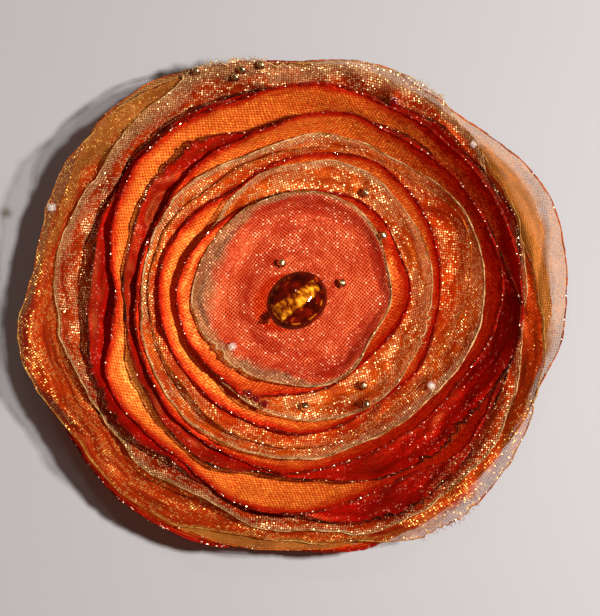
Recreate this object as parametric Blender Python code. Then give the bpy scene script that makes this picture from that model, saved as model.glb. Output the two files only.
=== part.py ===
"""Layered fabric flower: singed satin and organza discs stitched through a glass bead.

The discs are laid one by one on the pile below them, largest first. Every disc is flat
near the stitch and its melted rim curls up, so the pile nests like a set of shallow cups.
"""
import math

import bmesh
import bpy
import numpy as np
from mathutils import Matrix, Vector

for old_object in list(bpy.data.objects):
    bpy.data.objects.remove(old_object, do_unlink=True)

MM = 0.001
SHARP_ANGLE = 50.0

# Radius of the lowest disc as cut by eye, which sets the plan of all the discs
FLOWER_RADIUS = 50.0

# Cloth, in millimetres
SATIN_THICKNESS = 0.28
ORGANZA_THICKNESS = 0.17
LAYER_GAP = 0.32
RIM_STEP = 7.4
FEWEST_SPOKES = 24

# How the discs lift between the stitch and the rim
LOFT_SLOPE = 0.05
WALL_POWER = 1.7
WALL_RINGS = (0.0, 0.36, 0.7, 1.0)
DROOP_SLOPE = 0.35
LEAN_ANGLE = 15.0
LONG_WAVE = 0.8
LONG_WAVES = 3
SHORT_WAVE = 0.5
SHORT_WAVES = 8
FOOT_WAVE = 0.14
TURN_PER_DISC = 2.4

# Oval glass bead, lying on its side over the stitch
BEAD_LENGTH = 12.1
BEAD_WIDTH = 10.7
BEAD_HEIGHT = 7.2
BEAD_HOLE = 1.6
BEAD_HOLE_EDGE = 0.25
BEAD_ANGLE = 36.0
BEAD_SIDES = 20
BEAD_STATIONS = 11

# Thread that holds the pile together
THREAD_DIAMETER = 0.4
THREAD_BEND = 1.0
BEND_STEPS = 4
NEEDLE_OFFSET = 0.85
NEEDLE_HOLE = 1.1
NEEDLE_SIDES = 8
THREAD_FLOOR_GAP = 0.2

# Pucker in the middle of the underside, where the back stitch lies
PUCKER_MARGIN = 0.9
PUCKER_RAMP = 3.2

# Seed beads
SEED_DIAMETER = 1.75
SEED_LENGTH = 1.3
SEED_HOLE = 0.65
SEED_ROUNDING = 0.27
SEED_SIDES = 10
SEED_GAP = 0.3
ROW_SPACING = SEED_LENGTH + 2 * SEED_GAP

# Height map of the pile, and how a disc is lifted clear of it
CELL = 0.2
MAP_REACH = 1.24 * FLOWER_RADIUS
LIFT_FOCUS = 3
LIFT_STEP = 0.4
LIFT_TOLERANCE = 0.004
MOST_LIFTS = 150

NEEDLE_REACH = BEAD_LENGTH / 2 + NEEDLE_OFFSET
PUCKER_TOP_RADIUS = NEEDLE_REACH + NEEDLE_HOLE / 2 + PUCKER_MARGIN
PUCKER_FOOT_RADIUS = PUCKER_TOP_RADIUS + PUCKER_RAMP
PUCKER_HEIGHT = THREAD_FLOOR_GAP + THREAD_DIAMETER + LAYER_GAP

SATIN = {"thickness": SATIN_THICKNESS, "roughness": 0.38}
ORGANZA = {"thickness": ORGANZA_THICKNESS, "roughness": 0.5}

# Discs from the lowest to the topmost. "wall" is the width of the curled part in plan and "rise"
# its height, in millimetres. "lean" is the share by which a rim rises higher towards LEAN_ANGLE
# and lower opposite. A rim is (degrees from +X, percent of FLOWER_RADIUS from the stitch).
DISCS = (
    {
        "name": "satin_base",
        "cloth": SATIN,
        "colour": (0.80, 0.16, 0.02),
        "wall": 10.5,
        "rise": 8.5,
        "lean": -0.3,
        "rim": (
            (0, 98.0), (20, 93.8), (50, 93.2), (85, 92.6), (120, 98.0), (160, 99.2),
            (205, 101.6), (230, 102.0), (245, 100.4), (265, 95.4), (280, 97.6), (315, 97.6),
            (340, 96.0),
        ),
    },
    {
        "name": "organza_peach",
        "cloth": ORGANZA,
        "colour": (0.85, 0.45, 0.25),
        "wall": 11.0,
        "rise": 6.5,
        "lean": -0.4,
        "rim": (
            (0, 104.0), (14, 106.0), (27, 105.4), (40, 99.2), (55, 95.0), (70, 97.6),
            (85, 93.8), (97, 91.6), (108, 96.0), (122, 101.2), (140, 102.2), (156, 98.6),
            (172, 98.0), (187, 101.4), (208, 98.0), (230, 98.8), (270, 96.0),
            (310, 96.8), (332, 98.0), (343, 99.6), (352, 104.2),
        ),
    },
    {
        "name": "organza_bronze",
        "cloth": ORGANZA,
        "colour": (0.55, 0.25, 0.05),
        "wall": 10.0,
        "rise": 5.5,
        "lean": -0.3,
        "rim": (
            (0, 93.8), (60, 93.0), (100, 93.8), (125, 99.2), (145, 103.2), (160, 101.6),
            (172, 102.4), (187, 107.8), (197, 106.2), (208, 101.2), (228, 100.0), (245, 95.8), (265, 92.2), (280, 94.2), (292, 99.6), (305, 104.6),
            (318, 103.2), (332, 101.2), (345, 98.4),
        ),
    },
    {
        "name": "organza_cream_wide",
        "cloth": ORGANZA,
        "colour": (0.75, 0.55, 0.30),
        "wall": 9.5,
        "rise": 5.2,
        "lean": -0.2,
        "rim": (
            (10, 89.4), (30, 89.0), (45, 91.8), (60, 97.6), (80, 94.6), (90, 91.4), (102, 95.4),
            (115, 96.8), (130, 93.8), (143, 91.0), (160, 93.8), (185, 92.6), (200, 89.0),
            (225, 86.8), (250, 85.2), (260, 88.6), (275, 88.2), (288, 93.8), (310, 93.4),
            (335, 92.6), (348, 88.2),
        ),
    },
    {
        "name": "organza_maroon_wide",
        "cloth": ORGANZA,
        "colour": (0.30, 0.03, 0.02),
        "wall": 9.0,
        "rise": 6.5,
        "lean": 0.2,
        "rim": (
            (0, 86.4), (12, 87.6), (22, 90.6), (38, 86.8), (53, 88.2), (66, 83.2), (95, 82.4),
            (140, 84.0), (155, 81.6), (188, 81.6), (206, 84.0), (222, 81.2), (235, 78.2),
            (250, 80.4), (270, 82.8), (290, 90.2), (310, 89.8), (330, 86.8), (345, 85.2),
        ),
    },
    {
        "name": "satin_wide",
        "cloth": SATIN,
        "colour": (0.85, 0.20, 0.02),
        "wall": 9.5,
        "rise": 7.0,
        "lean": 0.4,
        "rim": (
            (0, 86.4), (20, 86.0), (40, 84.4), (60, 82.8), (82, 84.4), (100, 81.6), (140, 81.6),
            (155, 77.6), (170, 73.0), (184, 70.0), (198, 77.6), (206, 79.6), (218, 77.4),
            (235, 76.2), (255, 81.0), (272, 82.0), (290, 79.4), (303, 80.0), (318, 86.0),
            (335, 84.0), (348, 85.8),
        ),
    },
    {
        "name": "organza_maroon_narrow",
        "cloth": ORGANZA,
        "colour": (0.25, 0.02, 0.02),
        "wall": 8.5,
        "rise": 5.5,
        "lean": 0.4,
        "rim": (
            (0, 85.2), (10, 81.2), (30, 78.0), (60, 76.2), (80, 72.6), (95, 69.8), (110, 68.4),
            (122, 74.6), (131, 71.4), (140, 73.0), (152, 70.6), (180, 67.0), (200, 67.2),
            (220, 69.6), (240, 71.2), (258, 67.8), (272, 68.4), (290, 74.2), (310, 78.2),
            (330, 81.2), (348, 86.4),
        ),
    },
    {
        "name": "satin_middle",
        "cloth": SATIN,
        "colour": (0.85, 0.18, 0.02),
        "wall": 8.5,
        "rise": 6.0,
        "lean": 0.5,
        "rim": (
            (0, 78.6), (22, 78.6), (45, 76.2), (64, 74.0), (77, 74.6), (90, 71.0), (106, 66.6),
            (125, 65.6), (145, 63.0), (180, 62.4), (205, 63.6), (225, 65.4), (242, 64.0),
            (265, 66.4), (283, 65.0), (310, 66.4), (335, 71.0), (350, 76.0),
        ),
    },
    {
        "name": "organza_cream_edge",
        "cloth": ORGANZA,
        "colour": (0.80, 0.50, 0.20),
        "wall": 8.0,
        "rise": 4.2,
        "lean": 0.4,
        "rim": (
            (0, 71.8), (12, 73.2), (35, 71.6), (57, 66.6), (78, 66.0), (95, 62.6), (112, 59.6),
            (126, 61.6), (150, 61.0), (185, 60.6), (208, 61.2), (220, 62.4), (245, 61.4),
            (270, 60.6), (300, 61.0), (325, 63.4), (345, 69.6),
        ),
    },
    {
        "name": "organza_orange",
        "cloth": ORGANZA,
        "colour": (0.80, 0.28, 0.04),
        "wall": 7.5,
        "rise": 3.6,
        "lean": 0.3,
        "rim": (
            (0, 65.6), (15, 69.0), (32, 70.0), (46, 64.6), (60, 62.6), (80, 60.4), (110, 56.0),
            (150, 57.4), (185, 57.2), (215, 55.2), (245, 56.0), (285, 56.8), (310, 55.2),
            (335, 57.8), (350, 61.0),
        ),
    },
    {
        "name": "satin_narrow",
        "cloth": SATIN,
        "colour": (0.88, 0.24, 0.03),
        "wall": 7.0,
        "rise": 3.6,
        "lean": 0.3,
        "rim": (
            (0, 54.8), (20, 57.8), (40, 59.8), (60, 61.4), (80, 58.4), (100, 53.8), (122, 49.4),
            (145, 53.0), (180, 53.2), (210, 51.2), (255, 49.8), (280, 51.4), (310, 50.2),
            (335, 53.8),
        ),
    },
    {
        "name": "organza_gold",
        "cloth": ORGANZA,
        "colour": (0.85, 0.45, 0.12),
        "wall": 6.5,
        "rise": 3.0,
        "lean": 0.2,
        "rim": (
            (0, 52.0), (20, 54.0), (40, 54.2), (60, 56.6), (75, 56.6), (92, 53.0), (112, 50.0),
            (134, 44.0), (160, 42.4), (225, 42.4), (250, 43.8), (275, 46.4), (300, 49.0),
            (330, 49.8),
        ),
    },
    {
        "name": "satin_red",
        "cloth": SATIN,
        "colour": (0.75, 0.10, 0.03),
        "wall": 5.5,
        "rise": 2.6,
        "lean": 0.1,
        "rim": (
            (0, 43.4), (30, 44.0), (54, 46.2), (75, 44.2), (95, 42.0), (130, 42.0), (155, 45.2),
            (180, 46.6), (210, 43.0), (240, 40.0), (270, 35.6), (300, 35.0), (325, 35.8),
            (345, 40.0),
        ),
    },
    {
        "name": "satin_coral_centre",
        "cloth": SATIN,
        "colour": (0.75, 0.14, 0.06),
        "wall": 4.0,
        "rise": 1.4,
        "lean": 0.0,
        "rim": (
            (0, 35.4), (25, 37.4), (47, 41.0), (75, 41.6), (110, 38.8), (140, 34.8),
            (158, 34.2), (180, 36.0), (210, 32.6), (250, 30.2), (275, 29.8), (290, 32.4),
            (315, 33.2), (335, 31.0),
        ),
    },
    {
        "name": "organza_cream_centre",
        "cloth": ORGANZA,
        "colour": (0.85, 0.55, 0.40),
        "wall": 3.5,
        "rise": 1.6,
        "lean": 0.0,
        "rim": (
            (0, 36.0), (25, 37.8), (46, 41.8), (78, 42.8), (110, 40.8), (150, 39.8),
            (190, 40.0), (205, 36.6), (230, 34.0), (265, 32.2), (287, 34.0), (310, 34.2),
            (333, 31.8),
        ),
    },
)

BRASS = {"colour": (0.42, 0.25, 0.08), "metallic": 1.0, "roughness": 0.2, "alpha": 1.0}
CLEAR_GLASS = {"colour": (0.85, 0.85, 0.82), "metallic": 0.0, "roughness": 0.08, "alpha": 0.5}
RED_GLASS = {"colour": (0.25, 0.01, 0.01), "metallic": 0.0, "roughness": 0.1, "alpha": 0.8}
AMBER_GLASS = {"colour": (0.35, 0.03, 0.005), "metallic": 0.0, "roughness": 0.05, "alpha": 0.7}
RED_THREAD = {"colour": (0.45, 0.05, 0.02), "metallic": 0.0, "roughness": 0.7, "alpha": 1.0}

# Stitches of seed beads: (degrees from +X, percent of FLOWER_RADIUS from the stitch, degrees
# that the thread through the beads is turned, glass of each bead on it)
SEED_ROWS = (
    (113.6, 96.9, 10, (BRASS,)),
    (105.3, 90.0, 45, (BRASS, BRASS)),
    (98.7, 92.3, 20, (BRASS,)),
    (111.4, 15.9, 70, (BRASS,)),
    (21.9, 18.8, 15, (BRASS,)),
    (37.4, 41.8, 120, (BRASS,)),
    (57.8, 49.9, 140, (BRASS,)),
    (308.5, 41.4, 40, (BRASS,)),
    (304.2, 48.1, 0, (BRASS,)),
    (274.5, 40.7, 90, (BRASS,)),
    (215.1, 30.6, 110, (CLEAR_GLASS,)),
    (327.6, 61.1, 50, (CLEAR_GLASS,)),
    (41.7, 91.6, 130, (CLEAR_GLASS,)),
    (159.3, 100.7, 70, (CLEAR_GLASS,)),
    (64.0, 85.7, 160, (RED_GLASS,)),
    (242.2, 40.3, -34, (RED_GLASS, RED_GLASS, RED_GLASS)),
)


def closed_curve(points, degrees):
    """Values of a smooth closed curve through (degree, value) points."""
    angles = np.array([point[0] for point in points], float)
    values = np.array([point[1] for point in points], float)
    angles = np.concatenate([angles[-2:] - 360, angles, angles[:2] + 360])
    values = np.concatenate([values[-2:], values, values[:2]])
    slopes = np.gradient(values, angles)
    before = np.clip(np.searchsorted(angles, degrees, side="right") - 1, 0, len(angles) - 2)
    after = before + 1
    span = angles[after] - angles[before]
    t = (degrees - angles[before]) / span
    return (
        values[before] * (2 * t**3 - 3 * t**2 + 1)
        + values[after] * (3 * t**2 - 2 * t**3)
        + slopes[before] * span * (t**3 - 2 * t**2 + t)
        + slopes[after] * span * (t**3 - t**2)
    )


def rim_radius(disc, degrees):
    """Radius of a disc's rim at each angle, in millimetres."""
    return closed_curve(disc["rim"], degrees) * FLOWER_RADIUS / 100


def make_material(name, colour, roughness, metallic=0.0, alpha=1.0):
    """A plain Principled material."""
    material = bpy.data.materials.new(name)
    material.use_nodes = True
    shader = material.node_tree.nodes["Principled BSDF"]
    shader.inputs["Base Color"].default_value = (*colour, 1.0)
    shader.inputs["Roughness"].default_value = roughness
    shader.inputs["Metallic"].default_value = metallic
    shader.inputs["Alpha"].default_value = alpha
    return material


def add_object(name, data, material, parent):
    """Put a mesh or curve in the scene under the flower's own frame."""
    obj = bpy.data.objects.new(name, data)
    data.materials.append(material)
    bpy.context.scene.collection.objects.link(obj)
    obj.parent = parent
    return obj


def direction(degrees):
    """Level unit vector at an angle from +X."""
    return Vector((math.cos(math.radians(degrees)), math.sin(math.radians(degrees)), 0.0))


class PileMap:
    """Highest point of the pile over each cell of the table, which starts bare."""

    def __init__(self):
        self.size = int(2 * MAP_REACH / CELL) + 1
        self.top = np.full((self.size, self.size), -LAYER_GAP)

    def cells(self, x, y):
        """Row and column of the cell at each point."""
        column = np.rint((x + MAP_REACH) / CELL).astype(int)
        row = np.rint((y + MAP_REACH) / CELL).astype(int)
        return row, column

    def clear_height(self, gap):
        """Lowest height in each cell that stays a gap away from the pile."""
        need = self.top + gap
        reach = int(gap / CELL)
        for row in range(-reach, reach + 1):
            for column in range(-reach, reach + 1):
                drop = gap**2 - (row**2 + column**2) * CELL**2
                if drop > 0:
                    moved = np.roll(self.top, (row, column), (0, 1))
                    need = np.maximum(need, moved + math.sqrt(drop))
        return need

    def add(self, row, column, height):
        """Raise the pile to the given heights."""
        np.maximum.at(self.top, (row, column), height)


def cover_cells(pile, x, y, triangles, rim):
    """Cells under a sheet, each with three corners of the sheet and their weights."""
    rows, columns, corners, weights = [], [], [], []
    for a, b, c in triangles:
        low_row, low_column = pile.cells(min(x[a], x[b], x[c]), min(y[a], y[b], y[c]))
        high_row, high_column = pile.cells(max(x[a], x[b], x[c]), max(y[a], y[b], y[c]))
        row, column = np.mgrid[low_row:high_row + 1, low_column:high_column + 1]
        px = column * CELL - MAP_REACH - x[a]
        py = row * CELL - MAP_REACH - y[a]
        bx, by, cx, cy = x[b] - x[a], y[b] - y[a], x[c] - x[a], y[c] - y[a]
        area = bx * cy - cx * by
        wb = (px * cy - cx * py) / area
        wc = (bx * py - px * by) / area
        inside = (wb >= 0) & (wc >= 0) & (wb + wc <= 1)
        rows.append(row[inside])
        columns.append(column[inside])
        weights.append(np.stack([1 - wb - wc, wb, wc], -1)[inside])
        corners.append(np.tile((a, b, c), (int(inside.sum()), 1)))
    for a, b in rim:
        steps = int(math.hypot(x[b] - x[a], y[b] - y[a]) / CELL * 2) + 1
        along = np.linspace(0, 1, steps + 1)
        row, column = pile.cells(x[a] + (x[b] - x[a]) * along, y[a] + (y[b] - y[a]) * along)
        rows.append(row)
        columns.append(column)
        weights.append(np.stack([1 - along, along, 0 * along], -1))
        corners.append(np.tile((a, b, b), (len(along), 1)))
    return (
        np.concatenate(rows),
        np.concatenate(columns),
        np.concatenate(corners),
        np.concatenate(weights),
    )


def steepness(x, y, z, triangles):
    """Length of the upright through a sheet of unit thickness, at each vertex."""
    points = np.stack([x, y, z], -1)
    corner = points[triangles]
    normal = np.cross(corner[:, 1] - corner[:, 0], corner[:, 2] - corner[:, 0])
    total = np.zeros_like(points)
    for k in range(3):
        np.add.at(total, triangles[:, k], normal)
    return np.linalg.norm(total, axis=1) / np.maximum(np.abs(total[:, 2]), 1e-9)


def disc_grid(disc):
    """Plan of a disc: ring radii by spoke, with the spokes' angles."""
    degrees = np.arange(0, 360, 1.0)
    perimeter = math.tau * rim_radius(disc, degrees).mean()
    spokes = max(FEWEST_SPOKES, round(perimeter / RIM_STEP))
    degrees = np.arange(spokes) * 360.0 / spokes
    rim = rim_radius(disc, degrees)
    wall = disc["wall"] * (1 + FOOT_WAVE * np.sin(2 * np.radians(degrees) + disc["wall"]))
    foot = np.maximum(rim - wall, PUCKER_FOOT_RADIUS)
    middle = (PUCKER_FOOT_RADIUS + foot) / 2
    rings = [np.full(spokes, PUCKER_TOP_RADIUS)]
    if foot.min() > PUCKER_FOOT_RADIUS:
        rings.append(np.full(spokes, PUCKER_FOOT_RADIUS))
    if foot.min() > 2 * PUCKER_FOOT_RADIUS:
        rings.append(middle)
    rings += [foot + (rim - foot) * share for share in WALL_RINGS]
    return np.radians(degrees), np.array(rings), foot, rim


def wanted_height(disc, number, angle, rings, foot, rim, base):
    """Height that each ring would take if nothing lay under the disc."""
    turn = number * TURN_PER_DISC
    long_wave = LONG_WAVE * np.sin(LONG_WAVES * angle + turn)
    short_wave = SHORT_WAVE * np.sin(SHORT_WAVES * angle - turn)
    share = np.clip((rings - foot) / (rim - foot), 0, 1)
    loft = 0.0 if number == 0 else LOFT_SLOPE * np.maximum(rings - PUCKER_TOP_RADIUS, 0)
    lean = 1 + disc["lean"] * np.cos(angle - math.radians(LEAN_ANGLE))
    return base + loft + (disc["rise"] * lean + long_wave + short_wave) * share**WALL_POWER


def lay_disc(disc, number, pile, frame, cutter):
    """Build one cloth disc resting on the pile, and add it to the pile."""
    angle, rings, foot, rim = disc_grid(disc)
    ring_count, spokes = rings.shape
    x = np.concatenate([[0.0], (rings * np.cos(angle)).ravel()])
    y = np.concatenate([[0.0], (rings * np.sin(angle)).ravel()])
    vertex = 1 + np.arange(ring_count * spokes).reshape(ring_count, spokes)
    triangles = []
    for k in range(spokes):
        after = (k + 1) % spokes
        triangles.append((0, vertex[0, k], vertex[0, after]))
        for ring in range(ring_count - 1):
            triangles.append((vertex[ring, k], vertex[ring + 1, k], vertex[ring + 1, after]))
            triangles.append((vertex[ring, k], vertex[ring + 1, after], vertex[ring, after]))
    triangles = np.array(triangles)
    edge = [(vertex[-1, k], vertex[-1, (k + 1) % spokes]) for k in range(spokes)]

    need = pile.clear_height(LAYER_GAP)
    row, column, corner, weight = cover_cells(pile, x, y, triangles, edge)
    middle_height = PUCKER_HEIGHT if number == 0 else need[pile.cells(0.0, 0.0)]
    height = wanted_height(disc, number, angle, rings, foot, rim, middle_height - PUCKER_HEIGHT)
    height[0] = middle_height
    z = np.concatenate([[middle_height], height.ravel()])
    nearness = weight**LIFT_FOCUS
    share = nearness / (weight * nearness).sum(1, keepdims=True)
    for _ in range(MOST_LIFTS):
        lack = need[row, column] - (weight * z[corner]).sum(1)
        if lack.max() < LIFT_TOLERANCE:
            break
        short = lack > 0
        lift = np.zeros_like(z)
        np.maximum.at(lift, corner[short].ravel(), (share[short] * lack[short, None]).ravel())
        z += LIFT_STEP * lift
        for ring in range(1, ring_count):
            fall = DROOP_SLOPE * (rings[ring] - rings[ring - 1])
            z[vertex[ring]] = np.maximum(z[vertex[ring]], z[vertex[ring - 1]] - fall)

    top = z + disc["cloth"]["thickness"] * steepness(x, y, z, triangles)
    pile.add(row, column, (weight * top[corner]).sum(1))

    bm = bmesh.new()
    under = [bm.verts.new(Vector(point) * MM) for point in zip(x, y, z)]
    over = [bm.verts.new(Vector(point) * MM) for point in zip(x, y, top)]
    for a, b, c in triangles:
        bm.faces.new((under[c], under[b], under[a]))
        bm.faces.new((over[a], over[b], over[c]))
    for a, b in edge:
        bm.faces.new((under[a], under[b], over[b], over[a]))
    mesh = bpy.data.meshes.new(disc["name"])
    bm.to_mesh(mesh)
    bm.free()
    mesh.shade_smooth()
    mesh.set_sharp_from_angle(angle=math.radians(SHARP_ANGLE))
    material = make_material(disc["name"], disc["colour"], disc["cloth"]["roughness"])
    obj = add_object(disc["name"], mesh, material, frame)
    holes = obj.modifiers.new("needle holes", "BOOLEAN")
    holes.operation = "DIFFERENCE"
    holes.object = cutter
    holes.solver = "EXACT"
    return obj


def needle_cutter(frame):
    """Two upright pins that cut the needle holes."""
    bm = bmesh.new()
    reach = direction(BEAD_ANGLE) * NEEDLE_REACH * MM
    for place in (Matrix.Translation(reach), Matrix.Translation(-reach)):
        bmesh.ops.create_cone(
            bm, cap_ends=True, segments=NEEDLE_SIDES, radius1=NEEDLE_HOLE / 2 * MM,
            radius2=NEEDLE_HOLE / 2 * MM, depth=2 * FLOWER_RADIUS * MM, matrix=place,
        )
    mesh = bpy.data.meshes.new("needle_cutter")
    bm.to_mesh(mesh)
    bm.free()
    cutter = bpy.data.objects.new("needle_cutter", mesh)
    bpy.context.scene.collection.objects.link(cutter)
    cutter.parent = frame
    cutter.hide_render = True
    cutter.display_type = "WIRE"
    return cutter


def turned_ring(profile, sides):
    """Mesh of a closed profile of (along X, radius) points turned about the X axis."""
    bm = bmesh.new()
    loop = [bm.verts.new((along * MM, 0, radius * MM)) for along, radius in profile]
    edges = [bm.edges.new((loop[k], loop[(k + 1) % len(loop)])) for k in range(len(loop))]
    bmesh.ops.spin(
        bm, geom=loop + edges, cent=(0, 0, 0), axis=(1, 0, 0), angle=math.tau, steps=sides,
    )
    bmesh.ops.remove_doubles(bm, verts=bm.verts, dist=1e-6)
    bmesh.ops.recalc_face_normals(bm, faces=bm.faces)
    return bm


def bead_profile(length, diameter, hole, hole_edge, stations):
    """Outer curve of an oval bead and the bore through it."""
    half = length / 2
    lip = hole / 2 + hole_edge
    end_angle = math.asin(lip / (diameter / 2))
    outer = []
    for k in range(stations):
        turn = end_angle + (math.pi - 2 * end_angle) * k / (stations - 1)
        along = -math.cos(turn) / math.cos(end_angle) * half
        outer.append((along, diameter / 2 * math.sin(turn)))
    bore_end = half - hole_edge / 2
    return outer + [(bore_end, hole / 2), (-bore_end, hole / 2)]


def add_glass_bead(pile, frame):
    """Lay the oval bead on the middle of the pile. Returns the height of its hole."""
    bm = turned_ring(
        bead_profile(BEAD_LENGTH, BEAD_WIDTH, BEAD_HOLE, BEAD_HOLE_EDGE, BEAD_STATIONS), BEAD_SIDES
    )
    bore = BEAD_HOLE / 2 * MM
    squash = (BEAD_HEIGHT - BEAD_HOLE) / (BEAD_WIDTH - BEAD_HOLE)
    for vert in bm.verts:
        beyond = abs(vert.co.z) - bore
        if beyond > 0:
            vert.co.z = math.copysign(bore + beyond * squash, vert.co.z)
    heading = Matrix.Rotation(math.radians(BEAD_ANGLE), 3, "Z")
    bmesh.ops.rotate(bm, verts=bm.verts, cent=(0, 0, 0), matrix=heading)
    axis_height = seat_height(bm, pile, LAYER_GAP)
    mesh = bpy.data.meshes.new("glass_bead")
    bm.to_mesh(mesh)
    bm.free()
    mesh.shade_smooth()
    mesh.set_sharp_from_angle(angle=math.radians(SHARP_ANGLE))
    obj = add_object("glass_bead", mesh, make_material("glass_bead", **AMBER_GLASS), frame)
    obj.location = (0, 0, axis_height * MM)
    return axis_height


def seat_height(bm, pile, gap, x=0.0, y=0.0):
    """Height at which a small solid centred over (x, y) clears the pile by the gap."""
    need = pile.clear_height(gap)
    points = np.array([vert.co / MM for vert in bm.verts])
    middles = np.array([face.calc_center_median() / MM for face in bm.faces])
    points = np.concatenate([points, middles])
    row, column = pile.cells(points[:, 0] + x, points[:, 1] + y)
    return float((need[row, column] - points[:, 2]).max())


def add_seed_bead(number, glass, x, y, turn, pile, frame):
    """Lay one seed bead on the cloth below it."""
    name = f"seed_bead_{number:02d}"
    half = SEED_LENGTH / 2
    outer = SEED_DIAMETER / 2
    bore = SEED_HOLE / 2
    end = (bore + outer) / 2
    belly = half - SEED_ROUNDING
    profile = ((-half, bore), (-half, end), (-belly, outer), (belly, outer), (half, end), (half, bore))
    bm = turned_ring(profile, SEED_SIDES)
    slope_reach = SEED_DIAMETER / 2
    east = pile.top[pile.cells(x + slope_reach, y)]
    west = pile.top[pile.cells(x - slope_reach, y)]
    north = pile.top[pile.cells(x, y + slope_reach)]
    south = pile.top[pile.cells(x, y - slope_reach)]
    steepest = 2 * slope_reach
    slope_x = np.clip(east - west, -steepest, steepest)
    slope_y = np.clip(north - south, -steepest, steepest)
    normal = Vector((-slope_x, -slope_y, 2 * slope_reach)).normalized()
    along = direction(turn)
    along = (along - normal * along.dot(normal)).normalized()
    across = normal.cross(along)
    tilt = Matrix((along, across, normal)).transposed()
    bmesh.ops.transform(bm, matrix=tilt.to_4x4(), verts=bm.verts)
    height = seat_height(bm, pile, SEED_GAP, x, y)
    mesh = bpy.data.meshes.new(name)
    bm.to_mesh(mesh)
    bm.free()
    mesh.shade_smooth()
    mesh.set_sharp_from_angle(angle=math.radians(SHARP_ANGLE))
    obj = add_object(name, mesh, make_material(name, **glass), frame)
    obj.location = (x * MM, y * MM, height * MM)


def add_stitch(axis_height, frame):
    """Loop of thread through the bead's hole and under the lowest disc."""
    low = THREAD_FLOOR_GAP + THREAD_DIAMETER / 2
    corners = (
        (NEEDLE_REACH, axis_height - THREAD_BEND, THREAD_BEND),
        (-NEEDLE_REACH, axis_height - THREAD_BEND, THREAD_BEND),
        (-NEEDLE_REACH, low + THREAD_DIAMETER, THREAD_DIAMETER),
        (NEEDLE_REACH, low + THREAD_DIAMETER, THREAD_DIAMETER),
    )
    quarter = math.tau / len(corners)
    heading = direction(BEAD_ANGLE)
    points = []
    for corner, (reach, middle_height, bend) in enumerate(corners):
        middle_reach = reach - math.copysign(bend, reach)
        for step in range(BEND_STEPS + 1):
            turn = quarter * (corner + step / BEND_STEPS)
            along = heading * (middle_reach + bend * math.cos(turn))
            points.append((along.x, along.y, middle_height + bend * math.sin(turn)))
    curve = bpy.data.curves.new("stitch_thread", "CURVE")
    curve.dimensions = "3D"
    curve.bevel_depth = THREAD_DIAMETER / 2 * MM
    curve.bevel_resolution = 2
    spline = curve.splines.new("POLY")
    spline.points.add(len(points) - 1)
    for spline_point, point in zip(spline.points, points):
        spline_point.co = (*(Vector(point) * MM), 1.0)
    spline.use_cyclic_u = True
    add_object("stitch_thread", curve, make_material("stitch_thread", **RED_THREAD), frame)


def middle_of_rims():
    """Middle of the flower's plan, measured from the stitch."""
    angle = np.arange(0, 360, 1.0)
    low = np.full(2, np.inf)
    high = np.full(2, -np.inf)
    for disc in DISCS:
        rim = rim_radius(disc, angle)
        plan = np.stack([rim * np.cos(np.radians(angle)), rim * np.sin(np.radians(angle))])
        low = np.minimum(low, plan.min(1))
        high = np.maximum(high, plan.max(1))
    return (low + high) / 2


def build_flower():
    """The whole flower, with the middle of its plan over the origin."""
    middle = middle_of_rims()
    frame = bpy.data.objects.new("flower", None)
    bpy.context.scene.collection.objects.link(frame)
    frame.location = (-middle[0] * MM, -middle[1] * MM, 0)
    cutter = needle_cutter(frame)
    pile = PileMap()
    for number, disc in enumerate(DISCS):
        lay_disc(disc, number, pile, frame, cutter)
    axis_height = add_glass_bead(pile, frame)
    number = 0
    for degrees, percent, turn, glasses in SEED_ROWS:
        start = direction(degrees) * FLOWER_RADIUS * percent / 100
        for place, glass in enumerate(glasses):
            number += 1
            centre = start + direction(turn) * ROW_SPACING * place
            add_seed_bead(number, glass, centre.x, centre.y, turn, pile, frame)
    add_stitch(axis_height, frame)


build_flower()
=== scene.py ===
"""Looks of the layered fabric flower: singed satin and organza discs around a glass bead."""
import math

import bpy
import numpy as np
from mathutils import Matrix, Vector


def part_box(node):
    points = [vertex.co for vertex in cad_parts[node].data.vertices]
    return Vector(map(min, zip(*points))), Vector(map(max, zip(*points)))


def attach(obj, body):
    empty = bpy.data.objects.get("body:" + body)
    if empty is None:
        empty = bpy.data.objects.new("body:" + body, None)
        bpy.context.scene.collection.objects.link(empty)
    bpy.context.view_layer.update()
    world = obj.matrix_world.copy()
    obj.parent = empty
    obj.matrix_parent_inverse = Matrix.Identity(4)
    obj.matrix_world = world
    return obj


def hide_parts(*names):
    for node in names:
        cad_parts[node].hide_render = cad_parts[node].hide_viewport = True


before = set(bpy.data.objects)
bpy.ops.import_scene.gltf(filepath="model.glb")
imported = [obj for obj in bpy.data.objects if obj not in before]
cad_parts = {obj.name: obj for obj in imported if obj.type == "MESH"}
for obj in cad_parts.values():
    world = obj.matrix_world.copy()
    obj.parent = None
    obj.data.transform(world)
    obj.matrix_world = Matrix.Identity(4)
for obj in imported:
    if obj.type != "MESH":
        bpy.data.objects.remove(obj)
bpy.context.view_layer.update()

MM = 0.001

FLOOR_REACH = 600.0

# Photograph: frame width on the table, camera's direction and the point it looks at
FRAME_WIDTH = 0.1172
CAMERA_ELEVATION = 87.0
CAMERA_DISTANCE = 0.85
CAMERA_TARGET = (0.00129, -0.00008, 0.0)

# Cloth grid in millimetres: spacing round the disc, and outwards where it shows and where it doesn't
FINE_STEP = 0.62
CREASE_STEP = 0.5
COARSE_STEP = 3.2
# CAD discs: rings of points in a wall, radius of the part with the needle holes, radii of the pucker
WALL_RINGS = 4
NEEDLE_ZONE = 8.2
PUCKER_RADII = (8.35, 11.55)
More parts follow.
